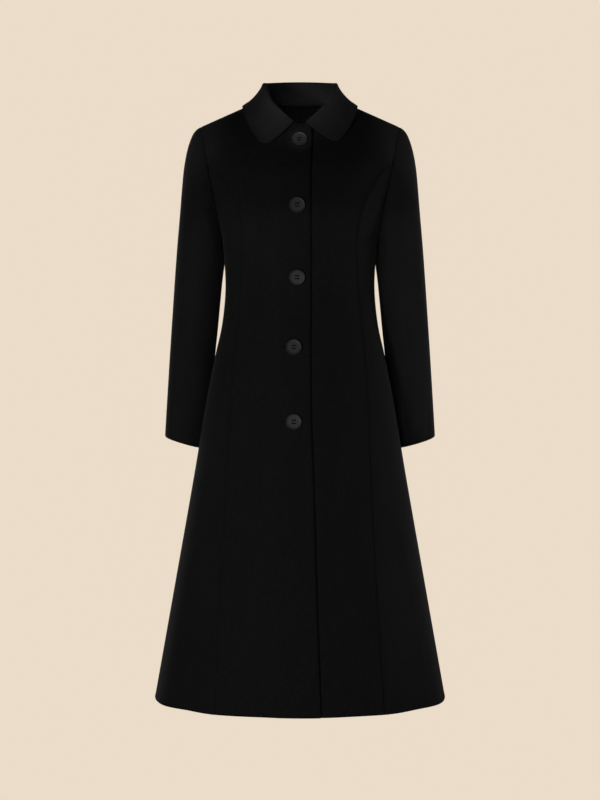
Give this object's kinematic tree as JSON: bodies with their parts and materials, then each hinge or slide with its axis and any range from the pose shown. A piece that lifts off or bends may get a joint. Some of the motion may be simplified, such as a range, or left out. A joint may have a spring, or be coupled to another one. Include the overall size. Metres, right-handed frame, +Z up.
{
  "type": "long coat",
  "caption": "Long fitted wool coat with princess seams, an A-line skirt, a rounded flat collar, long set-in sleeves and a buttoned front that laps right over left.",
  "frame": {"origin": "middle of the neck hole at the height of the nape, where the wearer's shoulders carry the coat", "axes": "+Z up towards the wearer's head, the buttoned front faces -Y, +X is the wearer's left"},
  "size_m": [0.5512, 0.4286, 1.1632],
  "materials": {
    "coat_wool": "dense black wool coating with a short brushed nap",
    "collar_wool": "the same black wool, its brushed nap catching more light on the collar",
    "button": "charcoal resin with a satin polish"
  },
  "bodies": {
    "root": {"right_front": "coat_wool", "left_front": "coat_wool", "right_side_front": "coat_wool", "left_side_front": "coat_wool", "right_back": "coat_wool", "left_back": "coat_wool", "right_upper_sleeve": "coat_wool", "left_upper_sleeve": "coat_wool", "right_under_sleeve": "coat_wool", "left_under_sleeve": "coat_wool", "collar": "collar_wool", "button_1": "button", "button_2": "button", "button_3": "button", "button_4": "button", "button_5": "button"}
  },
  "joints": []
}
